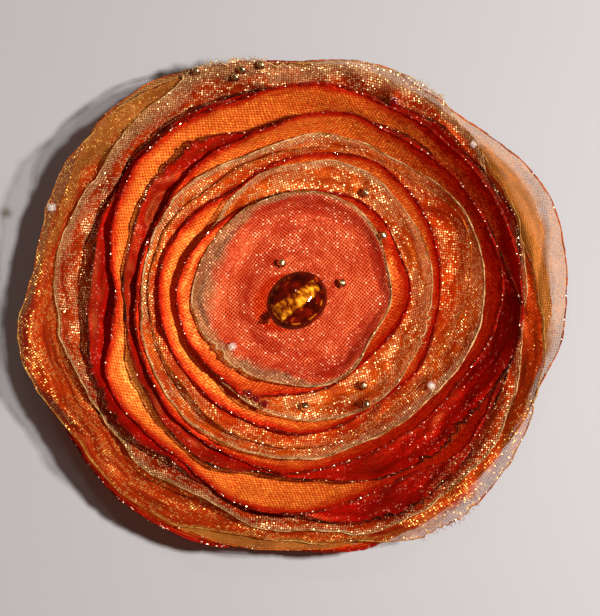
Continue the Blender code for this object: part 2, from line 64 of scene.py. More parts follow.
# Weave: millimetres across the flat map, threads that a thread wanders, and how far flakes turn
FLAT_SPAN = 150.0
THREAD_DRIFT = 3.0
THREAD_SHAKE = 0.8
FLAKE_TURN = 1.1
# Radius at which the streaks along the rims have their stated length
MEAN_RADIUS = 36.0

# Height map of the pile, in millimetres
PILE_CELL = 0.3
PILE_REACH = 62.0
SHEET_GAP = 0.14
LAY_ROUNDS = 8
LEAST_LIFT = 0.01
# Points of a sheet for each of the map's cells, and width of the zone that the rim's roundness lifts
DENSITY = 1.3
RIM_ZONE = 1.5
# Each bead draws the cloth up to it: gap, least cloth beyond it, half width of the push that this
# gives the rim, and half width of the rise
SEAT_GAP = 0.06
RIM_BEYOND_BEAD = 0.6
PUSH_WIDTH = 3.0
SEAT_WIDTHS = {"glass_bead": 5.0, "seed_bead": 2.2}

# Oval glass bead and its thread, as in the CAD model
BEAD_LENGTH = 12.1
BEAD_WIDTH = 10.7
BEAD_HEIGHT = 7.2
BEAD_HOLE = 1.6
BEAD_ANGLE = math.radians(36.0)
NEEDLE_REACH = 6.9
THREAD_DIAMETER = 0.4
THREAD_BEND = 1.0
BEND_STEPS = 8
BEAD_THREAD_RADIUS = 0.11
SEED_HALF_LENGTH = 0.65

# Folds of a singed disc: wavelength and height in millimetres
FOLDS = (
    (36.0, 0.45), (23.0, 0.40), (15.0, 0.32), (10.0, 0.22), (7.0, 0.15), (4.8, 0.11), (3.3, 0.07),
)
# Share of the folds that moves a rim in and out
OUTWARD_SHARE = 0.45
# Share of the folds that also shows as pleats half-way up the lowest disc's wall
WALL_PLEATS = 0.6
# Creases that run along the rim: spacing and height in millimetres
CREASES = ((6.5, 0.50), (4.1, 0.34), (2.7, 0.18))
SATIN_CREASING = 0.35

# Discs from the lowest up: node, material slot, cloth, rim, rim's radius in millimetres, share of the
# folds, degrees that the threads are turned
DISCS = (
    ("satin_base", "satin_orange", "orange satin", "red rim", 0.24, 0.8, 20),
    ("organza_peach", "organza_peach", "peach organza", "orange rim", 0.13, 0.9, -35),
    ("organza_bronze", "organza_bronze", "bronze organza", "brown rim", 0.11, 1.5, 12),
    ("organza_cream_wide", "organza_cream", "cream organza", "cream rim", 0.10, 1.5, 48),
    ("organza_maroon_wide", "organza_maroon", "maroon organza", "black rim", 0.16, 1.2, -8),
    ("satin_wide", "satin_orange", "orange satin", "red rim", 0.24, 0.8, 38),
    ("organza_maroon_narrow", "organza_maroon", "maroon organza", "black rim", 0.16, 1.1, 25),
    ("satin_middle", "satin_orange", "orange satin", "red rim", 0.22, 0.7, -20),
    ("organza_cream_edge", "organza_gold", "gold organza", "cream rim", 0.14, 1.0, 10),
    ("organza_orange", "organza_orange", "orange organza", "orange rim", 0.13, 1.0, -40),
    ("satin_narrow", "satin_orange", "orange satin", "red rim", 0.20, 0.7, 15),
    ("organza_gold", "organza_gold", "gold organza", "cream rim", 0.10, 0.9, 30),
    ("satin_red", "satin_red", "red satin", "red rim", 0.20, 0.6, -15),
    ("satin_coral_centre", "satin_coral", "coral satin", "red rim", 0.18, 0.5, 28),
    ("organza_cream_centre", "organza_cream", "coral organza", "cream rim", 0.14, 0.5, -6),
)
# Width of the band along each rim, which is singed red on satin and pale, unsinged mesh on organza:
# {degrees from +X: millimetres}. Where a satin's band widens towards +X, on walls that face away from
# the lamp, its deep red is painted shade as well as singeing.
EDGE_BANDS = {
    "satin_wide": {0: 9.0, 30: 8.0, 50: 4.0, 70: 1.8, 160: 1.6, 262: 1.6, 285: 3.0, 305: 7.0,
        330: 9.0},
    "satin_middle": {0: 9.0, 35: 7.0, 60: 2.5, 80: 1.6, 170: 1.6, 250: 1.6, 280: 3.0, 300: 6.0,
        330: 8.0},
    "satin_narrow": {0: 2.2, 90: 1.4, 200: 1.4, 300: 2.0},
    "satin_red": {0: 2.4, 90: 1.2, 200: 1.2, 300: 1.8},
    "organza_peach": {0: 4.0, 40: 3.0, 80: 2.0, 180: 1.0, 300: 0.4, 335: 1.0, 350: 3.0},
    "organza_bronze": {0: 0.6, 105: 0.8, 122: 4.0, 138: 8.0, 155: 7.0, 172: 2.0, 190: 0.6,
        285: 0.8, 300: 3.5, 330: 3.5, 345: 0.6},
    "organza_cream_wide": {0: 1.2, 45: 1.6, 62: 4.0, 82: 4.5, 95: 5.0, 112: 5.0, 128: 4.0,
        142: 2.6, 160: 2.6, 178: 1.2, 188: 0.7, 208: 0.9, 226: 1.8, 246: 1.4, 270: 0.8, 320: 0.8},
    "organza_cream_edge": {0: 0.7, 30: 0.5, 60: 1.0, 90: 1.6, 110: 1.4, 140: 0.6, 200: 0.3,
        260: 0.6, 290: 1.8, 315: 2.8, 335: 1.8},
    "organza_gold": {0: 2.4, 20: 2.4, 45: 1.2, 90: 1.6, 140: 0.8, 220: 0.6, 330: 1.2},
    "organza_cream_centre": {0: 0.7, 60: 0.7, 100: 1.2, 130: 3.0, 160: 4.6, 185: 4.4, 205: 2.0,
        235: 3.6, 262: 2.2, 285: 0.7},
}
SATIN_BAND, ORGANZA_BAND = 1.7, 0.5
# Share of its glints that organza shows where it isn't all of them: {degrees from +X: share}
GLINT_SHARES = {
    "organza_peach": {0: 0.3, 270: 1.0, 330: 0.6},
    "organza_bronze": {0: 0.12, 50: 0.3, 75: 0.9, 115: 0.6, 150: 0.8, 180: 1.0, 300: 1.0,
        335: 0.3},
    "organza_cream_wide": {0: 0.4, 45: 0.6, 75: 1.0, 300: 1.0, 330: 0.7},
}
# Frayed stretches of the rims, in degrees from +X
FRAYS = {
    "organza_bronze": ((298, 312),),
    "organza_cream_wide": ((54, 62), (92, 118)),
    "organza_maroon_wide": ((196, 214), (286, 312)),
    "organza_maroon_narrow": ((118, 146), (308, 332)),
    "organza_gold": ((340, 358),),
    "organza_cream_centre": ((204, 232),),
}
FIBRE_LENGTH = 0.6
FIBRE_RADIUS = 0.035
RAGGED = 0.7
OPEN_DISCS = ("satin_coral_centre", "organza_cream_centre")
BRONZE_BEADS = range(1, 12)
CLEAR_BEADS = range(12, 16)
RED_BEADS = range(16, 20)
# Beads on each stitch of thread
BEAD_ROWS = ((1,), (2, 3), *((number,) for number in range(4, 17)), (17, 18, 19))


# Node trees

def colour(code):
    """Linear RGBA of an sRGB hex code."""
    channels = [int(code[k:k + 2], 16) / 255 for k in (1, 3, 5)]
    return (*[c / 12.92 if c <= 0.04045 else ((c + 0.055) / 1.055) ** 2.4 for c in channels], 1.0)


def add_node(tree, kind, inputs=None, **settings):
    """Add a node. An input is a value, a hex code, a socket, or a node whose first output it takes."""
    node = tree.nodes.new(kind)
    for name, value in settings.items():
        setattr(node, name, value)
    for name, value in (inputs or {}).items():
        socket = node.inputs[name]
        if isinstance(value, bpy.types.Node):
            value = value.outputs[0]
        if isinstance(value, str) and value.startswith("#"):
            value = colour(value)
        if isinstance(value, bpy.types.NodeSocket):
            tree.links.new(value, socket)
        else:
            socket.default_value = value
    return node


def maths(tree, operation, *values):
    """Add a sum in numbers."""
    return add_node(tree, "ShaderNodeMath", dict(enumerate(values)), operation=operation)


def times(tree, first, second):
    """Add a product of two numbers."""
    return maths(tree, "MULTIPLY", first, second)


def vectors(tree, operation, *values, scale=1.0):
    """Add a sum in vectors."""
    inputs = {**dict(enumerate(values)), 3: scale}
    return add_node(tree, "ShaderNodeVectorMath", inputs, operation=operation)


def ramp(tree, value, start, end, first=0.0, last=1.0):
    """Add a slope: first up to the value start, last from the value end."""
    return add_node(tree, "ShaderNodeMapRange", {0: value, 1: start, 2: end, 3: first, 4: last})


def blend(tree, share, first, second):
    """Add a mix of two colours. Returns its socket."""
    return add_node(tree, "ShaderNodeMix", {0: share, 6: first, 7: second}, data_type="RGBA").outputs[2]


def noise(tree, place, scale, detail):
    """Add cloudy noise."""
    return add_node(tree, "ShaderNodeTexNoise", {"Vector": place, "Scale": scale, "Detail": detail})


def own_place(tree):
    """Add the position on the object. Returns its socket."""
    return add_node(tree, "ShaderNodeTexCoord").outputs["Object"]


def chance_of(tree, place):
    """Add a random value and colour for each place."""
    return add_node(tree, "ShaderNodeTexWhiteNoise", {0: place}, noise_dimensions="3D")


def relief(tree, height, strength, distance, normal=None):
    """Add a bumped normal, on top of another one if it is given."""
    inputs = {"Strength": strength, "Distance": distance, "Height": height}
    if normal:
        inputs["Normal"] = normal
    return add_node(tree, "ShaderNodeBump", inputs)


def kept_value(tree, name):
    """Add a value that the cloth keeps at each point. Returns its socket."""
    return add_node(tree, "ShaderNodeAttribute", attribute_name=name).outputs["Fac"]


def edge_share(tree):
    """Add the distance from the rim as a share of the edge band's width."""
    return maths(tree, "DIVIDE", kept_value(tree, "from_rim"), kept_value(tree, "edge_band"))


def new_material(name, make, *values):
    """A material whose surface a function makes in its tree, from colours and values."""
    material = bpy.data.materials.new(name)
    material.use_nodes = True
    tree = material.node_tree
    tree.nodes.clear()
    add_node(tree, "ShaderNodeOutputMaterial", {"Surface": make(tree, *values)})
    return material


def coat(tree, inputs):
    """Add an ordinary surface."""
    return add_node(tree, "ShaderNodeBsdfPrincipled", inputs)


def with_coloured_shadow(tree, shader, shade):
    """Glass that lets coloured light through into its shadow."""
    tint = add_node(tree, "ShaderNodeBsdfTransparent", {"Color": shade})
    shadow = add_node(tree, "ShaderNodeLightPath").outputs["Is Shadow Ray"]
    return add_node(tree, "ShaderNodeMixShader", {0: shadow, 1: shader, 2: tint})


def stirred(tree, place, waves, amount):
    """Add a place that noise moves about."""
    return vectors(tree, "MULTIPLY_ADD", waves.outputs["Color"], [amount] * 3, place)


def thread_grid(tree, pitch):
    """Position on the flat cloth, counted in threads of a pitch in millimetres. They wander.

    Real threads are 0.1 to 0.15 mm apart. These have the pitch of the dots in the photograph.
    """
    uv = add_node(tree, "ShaderNodeUVMap", uv_map="flat_cut")
    straight = vectors(tree, "SCALE", uv, scale=FLAT_SPAN / pitch)
    wandering = stirred(tree, straight, noise(tree, straight, 0.07, 3.0), THREAD_DRIFT)
    return stirred(tree, wandering, noise(tree, straight, 0.7, 1.0), THREAD_SHAKE)


def woven_dots(tree, grid):
    """From 0 between the floats to 1 on top of each, in rows that are offset like bricks."""
    waves = vectors(tree, "SINE", vectors(tree, "SCALE", grid, scale=math.pi))
    axes = add_node(tree, "ShaderNodeSeparateXYZ", {0: waves})
    return maths(tree, "MULTIPLY_ADD", times(tree, axes.outputs[0], axes.outputs[1]), 0.5, 0.5)


def turned_flake(tree, chance, amount):
    """Normal that is turned away from the surface by chance, so that few flakes face the lamp."""
    turn = vectors(tree, "SCALE", vectors(tree, "SUBTRACT", chance, [0.5] * 3), scale=amount)
    both = vectors(tree, "ADD", turn, add_node(tree, "ShaderNodeNewGeometry").outputs["Normal"])
    return vectors(tree, "NORMALIZE", both)


def rim_streaks(tree, across, along):
    """Noise that is drawn out along the rim. Its sizes are in millimetres."""
    level = vectors(tree, "MULTIPLY", own_place(tree), (1, 1, 0))
    run = vectors(tree, "SCALE", vectors(tree, "NORMALIZE", level), scale=MEAN_RADIUS / along)
    depth = times(tree, kept_value(tree, "from_rim"), 1 / across)
    both = vectors(tree, "ADD", run, add_node(tree, "ShaderNodeCombineXYZ", {"Z": depth}))
    return noise(tree, both, 1.0, 3.0)


def satin(tree, light, deep, singed_and_painted_shade, glow, gloss="#FFB050", pitch=0.37):
    """Polyester satin: saturated floats with a golden gloss where they face the lamp.

    Heat turns it deep red near its rim, and where the band widens on walls turned from the lamp, the
    deep red is painted shade as well. The metallic share there only takes away the golden gloss.
    """
    grid = vectors(tree, "MULTIPLY", thread_grid(tree, pitch), (0.72, 1.0, 1.0))
    dots = woven_dots(tree, grid)
    chance = chance_of(tree, vectors(tree, "FLOOR", grid))
    yarns = vectors(tree, "MULTIPLY", grid, (0.08, 0.9, 1.0))
    yarn = ramp(tree, noise(tree, yarns, 1.0, 2.0), 0.3, 0.7, 0.6, 1.1)
    float_light = times(tree, ramp(tree, dots, 0.3, 0.66), ramp(tree, chance, 0, 1, 0.4, 1.0))
    cloth = blend(tree, times(tree, float_light, yarn), deep, light)
    uneven = maths(tree, "MULTIPLY_ADD", rim_streaks(tree, 1.2, 5.0), -1.6, edge_share(tree))
    # Painted shade: the deep red band, widened where walls face away from the lamp, darkens them as well as
    # showing the singeing
    scorch_and_painted_shade = ramp(tree, uneven, -0.4, 0.45, 0.96, 0.0)
    tinted = blend(tree, scorch_and_painted_shade, cloth, singed_and_painted_shade)
    matt = ramp(tree, scorch_and_painted_shade, 0, 1, 0.46, 0.62)
    metal = ramp(tree, scorch_and_painted_shade, 0, 1, 0.0, 0.7)
    bumps = relief(tree, dots, 0.45, 0.0001, turned_flake(tree, chance.outputs["Color"], 0.36))
    shader = coat(tree, {
        "Base Color": tinted, "Roughness": matt, "Metallic": metal, "Normal": bumps,
        "IOR": 1.95, "Specular IOR Level": 1.0, "Specular Tint": gloss,
    })
    through = add_node(tree, "ShaderNodeBsdfTranslucent", {"Color": glow})
    return add_node(tree, "ShaderNodeMixShader", {0: 0.2, 1: shader, 2: through})


def organza(
    tree, thread, dark, edge, glint, cover, thin, glints, lit_through=0.0, pitch=0.34, shine=0.8,
    edge_gaps=0.2, edge_dark=None,
):
    """Organza: a sheer plain weave of stiff metallic threads that glint here and there.

    Streaks along the rim stand for the finer crumples of the cloth: their light and shade is painted
    into the colour, and more flakes lie on the light streaks.
    """
    grid = thread_grid(tree, pitch)
    dots = woven_dots(tree, grid)
    chance = chance_of(tree, vectors(tree, "FLOOR", grid))
    clumps = noise(tree, own_place(tree), 190.0, 3.0)
    crumple_light_and_shade = rim_streaks(tree, 1.7, 11.0)
    weave = ramp(tree, dots, 0.15, 0.65)
    uneven = times(tree, weave, ramp(tree, chance, 0, 1, 0.25, 1.15))
    woven = ramp(tree, uneven, 0, 1, 0.05, 1.0)
    # Painted light and shade of the crumples: the streaks mix the dark and the thread colour
    amount = times(tree, ramp(tree, crumple_light_and_shade, 0.36, 0.62, 0.1, 1.0), woven)
    ragged = maths(tree, "MULTIPLY_ADD", clumps, 1.6, edge_share(tree))
    near = ramp(tree, ragged, 1.35, 1.9, 1.0, 0.0)
    mesh = blend(tree, maths(tree, "POWER", uneven, 1.2), edge_dark or dark, edge)
    edged = blend(tree, near, blend(tree, amount, dark, thread), mesh)
    most = maths(tree, "MULTIPLY_ADD", kept_value(tree, "glint_share"), -glints, 1.0)
    limit = ramp(tree, maths(tree, "ADD", clumps, crumple_light_and_shade), 0.8, 1.15, 1.0, most)
    picked = ramp(tree, chance, limit, maths(tree, "ADD", limit, 0.1))
    speck = times(tree, picked, ramp(tree, dots, 0.5, 0.8))
    bright = blend(tree, speck, edged, glint)
    threads = ramp(tree, near, 0, 1, cover, 0.8 * cover)
    sheer = ramp(tree, weave, 0, 1, ramp(tree, near, 0, 1, thin, edge_gaps), threads)
    shadow = add_node(tree, "ShaderNodeLightPath").outputs["Is Shadow Ray"]
    dimming = maths(tree, "MULTIPLY_ADD", shadow, -lit_through, 1.0)
    alpha = times(tree, maths(tree, "MAXIMUM", sheer, speck), dimming)
    roughness = ramp(tree, speck, 0, 1, 0.5, 0.4)
    metal = ramp(tree, speck, 0, 1, 0.0, shine)
    flake = turned_flake(tree, chance.outputs["Color"], times(tree, speck, FLAKE_TURN))
    bumps = relief(tree, dots, 0.5, 0.0001, flake)
    return coat(tree, {
        "Base Color": bright, "Roughness": roughness, "Normal": bumps, "Alpha": alpha,
        "Metallic": metal, "IOR": 1.5, "Specular IOR Level": 0.6, "Specular Tint": "#FF9448",
    })


def melted(tree, main, other):
    """Melted polyester: the cut edge shrinks into a thin, lumpy line with a few bright specks."""
    place = own_place(tree)
    amount = ramp(tree, noise(tree, place, 210.0, 3.0), 0.42, 0.6)
    beads = add_node(tree, "ShaderNodeTexVoronoi", {"Vector": place, "Scale": 4200.0})
    chance = chance_of(tree, beads.outputs["Position"])
    speck = ramp(tree, chance, 0.955, 0.97)
    gloss = ramp(tree, speck, 0, 1, 0.75, 0.3)
    flake = turned_flake(tree, chance.outputs["Color"], 1.1)
    metal = times(tree, speck, 0.8)
    # Painted glint: the specks get a pale colour on top of the glossy, turned facets that catch the lamp
    rim_with_painted_glints = blend(tree, speck, blend(tree, amount, main, other), "#FFCCA4")
    return coat(tree, {
        "Base Color": rim_with_painted_glints, "Roughness": gloss, "Normal": flake, "Metallic": metal,
        "Specular IOR Level": 0.35, "Specular Tint": "#FF9860",
    })


def coloured_glass(tree, body, shade, roughness, clear=0.85):
    """Pressed glass: deep clear colour with slight ripples that bend what lies behind."""
    ripples = noise(tree, own_place(tree), 300.0, 1.0)
    shader = coat(tree, {
        "Base Color": body, "Roughness": roughness, "Normal": relief(tree, ripples, 0.12, 0.0005),
        "Transmission Weight": clear, "IOR": 1.5,
    })
    return with_coloured_shadow(tree, shader, shade)


def crackled_amber(tree, body, deep, flame, ember, spark, shade):
    """Dark amber glass. The lining of its hole shines through as a broken band of flame colour.

    What is seen deep in the glass is drawn in the colour of its surface: the band along the hole, thin
    gold arcs near the outline, where the glass bends the lining's light round, and red cracks.
    """
    place = own_place(tree)
    local = add_node(tree, "ShaderNodeMapping", {
        "Vector": place, "Location": STITCH * MM, "Rotation": (0, 0, BEAD_ANGLE),
    }, vector_type="TEXTURE")
    clouds = noise(tree, local, 520.0, 4.0)
    swirl = stirred(tree, local, clouds, 1.6 * MM)
    axes = add_node(tree, "ShaderNodeSeparateXYZ", {0: swirl})
    within = []
    for axis, start, end in ((1, 1.2, 1.6), (0, 4.2, 4.8)):
        aside = maths(tree, "ABSOLUTE", maths(tree, "SUBTRACT", axes.outputs[axis], 0.8 * MM))
        within.append(ramp(tree, aside, start * MM, end * MM, 1.0, 0.0))
    band = times(tree, *within)
    drawn = vectors(tree, "MULTIPLY", swirl, (1150.0, 620.0, 600.0))
    tongues = noise(tree, drawn, 1.0, 2.0)
    flames = blend(tree, ramp(tree, tongues, 0.40, 0.60), ember, flame)
    sparks = blend(tree, ramp(tree, tongues, 0.56, 0.68), flames, spark)
    glass = blend(tree, ramp(tree, clouds, 0.4, 0.7), deep, body)
    cracks = ramp(tree, noise(tree, local, 640.0, 1.0), 0.65, 0.72, 0.0, 0.85)
    plan = vectors(tree, "MULTIPLY", local, (2 / (BEAD_LENGTH * MM), 2 / (BEAD_WIDTH * MM), 0.0))
    ring = maths(tree, "COMPARE", vectors(tree, "LENGTH", plan).outputs["Value"], 0.83, 0.025)
    arcs = times(tree, ring, ramp(tree, clouds, 0.52, 0.62, 0.0, 0.85))
    arched = blend(tree, arcs, blend(tree, cracks, glass, "#A83004"), flame)
    mixed = blend(tree, band, arched, sparks)
    bumps = relief(tree, noise(tree, place, 420.0, 1.0), 0.3, 0.0006)
    shader = coat(tree, {
        "Base Color": mixed, "Roughness": 0.04, "Normal": bumps, "IOR": 1.5,
        "Specular Tint": "#FFC8A8",
    })
    return with_coloured_shadow(tree, shader, shade)


def mirror_coat(tree, main, worn, metallic, roughness):
    """Metal coat on a seed bead: bright, with faint dull spots where it is rubbed."""
    spots = noise(tree, own_place(tree), 2200.0, 2.0)
    amount = ramp(tree, spots, 0.45, 0.65)
    gloss = ramp(tree, amount, 0, 1, roughness, roughness + 0.18)
    return coat(tree, {
        "Base Color": blend(tree, amount, main, worn), "Roughness": gloss, "Metallic": metallic,
    })


def spun_thread(tree, main, other):
    """Spun polyester thread: soft, with paler fibres in its twist."""
    fibres = noise(tree, own_place(tree), 4000.0, 3.0)
    bumps = relief(tree, fibres, 0.5, 0.00005)
    return coat(tree, {
        "Base Color": blend(tree, fibres, main, other), "Roughness": 0.6, "Normal": bumps,
        "Sheen Weight": 0.2, "Sheen Tint": other,
    })


# Materials: name, what makes it, and the colours and values that it takes
MATERIALS = {name: new_material(name, make, *values) for name, make, *values in (
    # A satin's third colour is its singed red, which is also painted shade where its edge band widens
    ("orange satin", satin, "#FFA238", "#CC2A05", "#D00401", "#FF1001"),
    ("red satin", satin, "#FF7828", "#B41002", "#C80501", "#F01802"),
    ("coral satin", satin, "#D83C12", "#980C04", "#900A03", "#F02810", "#FF9458", 0.40),
    ("peach organza", organza, "#B4682C", "#7C4818", "#B47838", "#FFE0B8", 0.98, 0.85, 0.06, 0.5),
    ("bronze organza", organza, "#DC4406", "#680702", "#8A5C20", "#FFC060", 0.94, 0.82, 0.70, 0.5),
    ("cream organza", organza, "#DC4808", "#700902", "#CCA068", "#FFD490", 0.86, 0.56, 0.80),
    ("maroon organza", organza, "#C80803", "#680101", "#440201", "#FF9C80", 0.92, 0.76, 0.16),
    ("orange organza", organza, "#FF600C", "#901002", "#E06018", "#FFCC78", 0.86, 0.56, 0.95),
    ("gold organza", organza, "#FF7818", "#881202", "#E0BC80", "#FFD890", 0.86, 0.56, 1.0),
    ("coral organza", organza, "#DC6038", "#A41A0A", "#C08C60", "#FFA880", 0.95, 0.04, 0.2, 0.0,
     0.36, 0.3, 0.6, "#6C2E18"),
    ("red rim", melted, "#5C0200", "#8C0602"),
    ("orange rim", melted, "#B04C10", "#7A2C06"),
    ("brown rim", melted, "#8A3408", "#A87838"),
    ("cream rim", melted, "#BC9460", "#7A4818"),
    ("black rim", melted, "#1E0202", "#6A0A04"),
    ("clear glass", coloured_glass, "#F0E6D8", "#DCD2C4", 0.05, 0.74),
    ("red glass", coloured_glass, "#8A0A08", "#3A0404", 0.05, 0.6),
    ("bronze coat", mirror_coat, "#FFDCA0", "#7A5420", 1.0, 0.2),
    ("gold lining", mirror_coat, "#FFB03A", "#E8761A", 0.6, 0.3),
    ("silver lining", mirror_coat, "#F0E4D4", "#A89880", 0.9, 0.2),
    ("red thread", spun_thread, "#AC2E18", "#EC7850"),
)}


# Meshes

def add_object(name, data):
    """Put a new object into the scene."""
    thing = bpy.data.objects.new(name, data)
    bpy.context.scene.collection.objects.link(thing)
    return thing


def keep_values(mesh, name, values):
    """Keep a value at each point of a mesh."""
    mesh.attributes.new(name, "FLOAT", "POINT").data.foreach_set("value", values)


def add_piece(name, verts, faces, material):
    """A mesh object from vertices in millimetres."""
    mesh = bpy.data.meshes.new(name)
    mesh.from_pydata((np.asarray(verts) * MM).tolist(), [], faces)
    mesh.materials.append(MATERIALS[material])
    mesh.shade_smooth()
    return add_object(name, mesh)


def node_points(name):
    """Corners of a CAD node in millimetres."""
    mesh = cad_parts[name].data
    flat = np.zeros(len(mesh.vertices) * 3)
    mesh.vertices.foreach_get("co", flat)
    return flat.reshape(-1, 3) / MM


def node_middle(name):
    """Middle of a CAD node's box in millimetres."""
    low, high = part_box(name)
    return np.array((low + high) / 2) / MM


STITCH = node_middle("glass_bead")
MATERIALS["amber glass"] = new_material(
    "amber glass", crackled_amber, "#640A02", "#280200", "#B8640A", "#561202", "#F0A424", "#F8D0B0",
)


def cut_net(name):
    """Spokes of a CAD disc: (radius, height) at each ring, from the stitch out to the rim."""
    points = node_points(name) - (STITCH[0], STITCH[1], 0)
    radius = np.hypot(points[:, 0], points[:, 1])
    middle = points[radius < 0.1, 2]
    outer = radius > NEEDLE_ZONE
    points, radius = points[outer], radius[outer]
    degrees = (np.degrees(np.arctan2(points[:, 1], points[:, 0])) + 1) % 360 - 1
    spokes = 1 + int((np.diff(np.sort(degrees)) > 1).sum())
    spoke = np.rint(degrees * spokes / 360).astype(int) % spokes
    rings = []
    for k in range(spokes):
        order = np.argsort(radius[spoke == k])
        r = radius[spoke == k][order]
        z = points[spoke == k, 2][order]
        ring = np.concatenate([[0], np.cumsum(np.diff(r) > 0.01)])
        each = [ring == i for i in range(ring[-1] + 1)]
        rings.append(([r[i].mean() for i in each], [(z[i].min() + z[i].max()) / 2 for i in each]))
    least_foot = min(r[-WALL_RINGS] for r, z in rings)
    net = []
    for r, z in rings:
        inner = [PUCKER_RADII[0]]
        if least_foot > PUCKER_RADII[1] + 0.1:
            inner.append(PUCKER_RADII[1])
        if least_foot > 2 * PUCKER_RADII[1]:
            inner.append((PUCKER_RADII[1] + r[-WALL_RINGS]) / 2)
        kept = inner + r[-WALL_RINGS:]
        net.append([(0.0, (middle.min() + middle.max()) / 2), *zip(kept, np.interp(kept, r, z))])
    return np.array(net)


def around(values, turns):
    """Smooth closed curve through evenly spaced values, read at shares of a turn."""
    count = len(values)
    place = turns * count
    k = np.floor(place).astype(int)
    t = (place - k).reshape(-1, *[1] * (values.ndim - 1))
    before, here, after, beyond = (values[(k + step) % count] for step in (-1, 0, 1, 2))
    return here + 0.5 * t * (
        after - before
        + t * (2 * before - 5 * here + 4 * after - beyond + t * (3 * (here - after) + beyond - before))
    )


def along_spokes(radius, height, place):
    """Radius and height at places between the rings, without overshoot."""
    span = np.diff(radius, axis=1)
    slope = np.diff(height, axis=1) / span
    bend = np.zeros_like(height)
    left, right = slope[:, :-1], slope[:, 1:]
    weight_left = 2 * span[:, 1:] + span[:, :-1]
    weight_right = span[:, 1:] + 2 * span[:, :-1]
    same = left * right > 0
    safe_left, safe_right = np.where(same, left, 1), np.where(same, right, 1)
    bend[:, 1:-1] = np.where(
        same, (weight_left + weight_right) / (weight_left / safe_left + weight_right / safe_right), 0,
    )
    bend[:, -1] = slope[:, -1]
    k = np.minimum(place.astype(int), radius.shape[1] - 2)
    t = place - k
    r = radius[:, k] + t * span[:, k]
    z = (
        height[:, k] * (2 * t**3 - 3 * t**2 + 1) + height[:, k + 1] * (3 * t**2 - 2 * t**3)
        + bend[:, k] * span[:, k] * (t**3 - 2 * t**2 + t)
        + bend[:, k + 1] * span[:, k] * (t**3 - t**2)
    )
    return r.T, z.T


def folds(random, turns, perimeter, slant):
    """Sum of waves around a rim, each with its own phase. slant moves them along the rim."""
    total = np.zeros(np.broadcast(turns, slant).shape)
    for wavelength, height in FOLDS:
        count = max(2, round(perimeter / wavelength))
        phase = random.uniform(0, math.tau)
        lean = random.uniform(-1, 1)
        swell = 0.65 + 0.35 * np.sin(math.tau * turns * random.integers(2, 5) + random.uniform(0, math.tau))
        total = total + height * swell * np.sin(math.tau * count * turns + phase + lean * slant)
    return total


def creases(random, turns, from_rim):
    """Sum of creases that run along the rim and wander to and from it."""
    total = np.zeros_like(from_rim)
    for spacing, height in CREASES:
        drift = sum(
            random.uniform(0.8, 2.2) * np.sin(math.tau * (count * turns + random.uniform()))
            for count in (2, 3, 5, 8, 13)
        )
        swell = 0.55 + 0.45 * np.sin(math.tau * (random.integers(3, 7) * turns + random.uniform()))
        total += height * swell * np.sin(math.tau * from_rim / spacing + drift)
    return total


class Pile:
    """Highest point of what has been laid, over each cell of the table."""

    def __init__(self):
        side = int(2 * PILE_REACH / PILE_CELL) + 1
        self.top = np.zeros((side, side))

    def cells(self, x, y):
        """Row and column of the cell at each point."""
        return (
            np.rint((y - STITCH[1] + PILE_REACH) / PILE_CELL).astype(int),
            np.rint((x - STITCH[0] + PILE_REACH) / PILE_CELL).astype(int),
        )

    def clear(self, gap):
        """Lowest height in each cell that keeps a gap to the pile."""
        need = self.top + gap
        reach = int(gap / PILE_CELL)
        for row in range(-reach, reach + 1):
            for column in range(-reach, reach + 1):
                drop = gap**2 - (row**2 + column**2) * PILE_CELL**2
                if drop > 0:
                    need = np.maximum(need, np.roll(self.top, (row, column), (0, 1)) + math.sqrt(drop))
        return need

    def add(self, x, y, z):
        """Raise the pile to these points."""
        np.maximum.at(self.top, self.cells(x, y), z)


def between(grid, rows, columns):
    """Values of a grid at fractional rows and columns. The columns run round."""
    r = np.minimum(rows.astype(int), len(grid) - 2)
    t = (rows - r)[:, None]
    across = grid[r] * (1 - t) + grid[r + 1] * t
    c = columns.astype(int)
    u = columns - c
    count = grid.shape[1]
    return across[:, c % count] * (1 - u) + across[:, (c + 1) % count] * u


def next_row(grid):
    """Each row's values from the row after it."""
    return np.vstack([grid[1:], grid[-1:]])


def row_before(grid):
    """Each row's values from the row before it."""
    return np.vstack([grid[:1], grid[:-1]])


def spread_up(lift):
    """Widen and soften a lift without lowering it anywhere."""
    wide = lift
    for step in (-1, 1):
        wide = np.maximum(wide, np.roll(lift, step, 1))
    wide = np.maximum(wide, np.maximum(next_row(wide), row_before(wide)))
    soft = (wide + np.roll(wide, 1, 1) + np.roll(wide, -1, 1)) / 3
    soft = (soft + next_row(soft) + row_before(soft)) / 3
    return np.maximum(soft, lift)


def carried_beads():
    """For each CAD disc, the beads that lie on it: place from the stitch, and lowest height."""
    nets = {disc[0]: cut_net(disc[0]) for disc in DISCS}
    carried = {node: [] for node in nets}
    for bead in ["glass_bead"] + [f"seed_bead_{number:02d}" for number in range(1, 20)]:
        points = node_points(bead)
        east, north = node_middle(bead)[:2] - STITCH[:2]
        reach, turn = math.hypot(east, north), math.atan2(north, east) / math.tau % 1
        spokes = {node: around(net, np.array([turn]))[0] for node, net in nets.items()}
        heights = {
            node: np.interp(reach, spoke[:, 0], spoke[:, 1])
            for node, spoke in spokes.items() if reach < spoke[-1, 0] + RIM_BEYOND_BEAD
        }
        carrier = max(heights, key=heights.get)
        width = SEAT_WIDTHS["glass_bead" if bead == "glass_bead" else "seed_bead"]
        carried[carrier].append((reach, turn, points[:, 2].min(), width))
    return carried


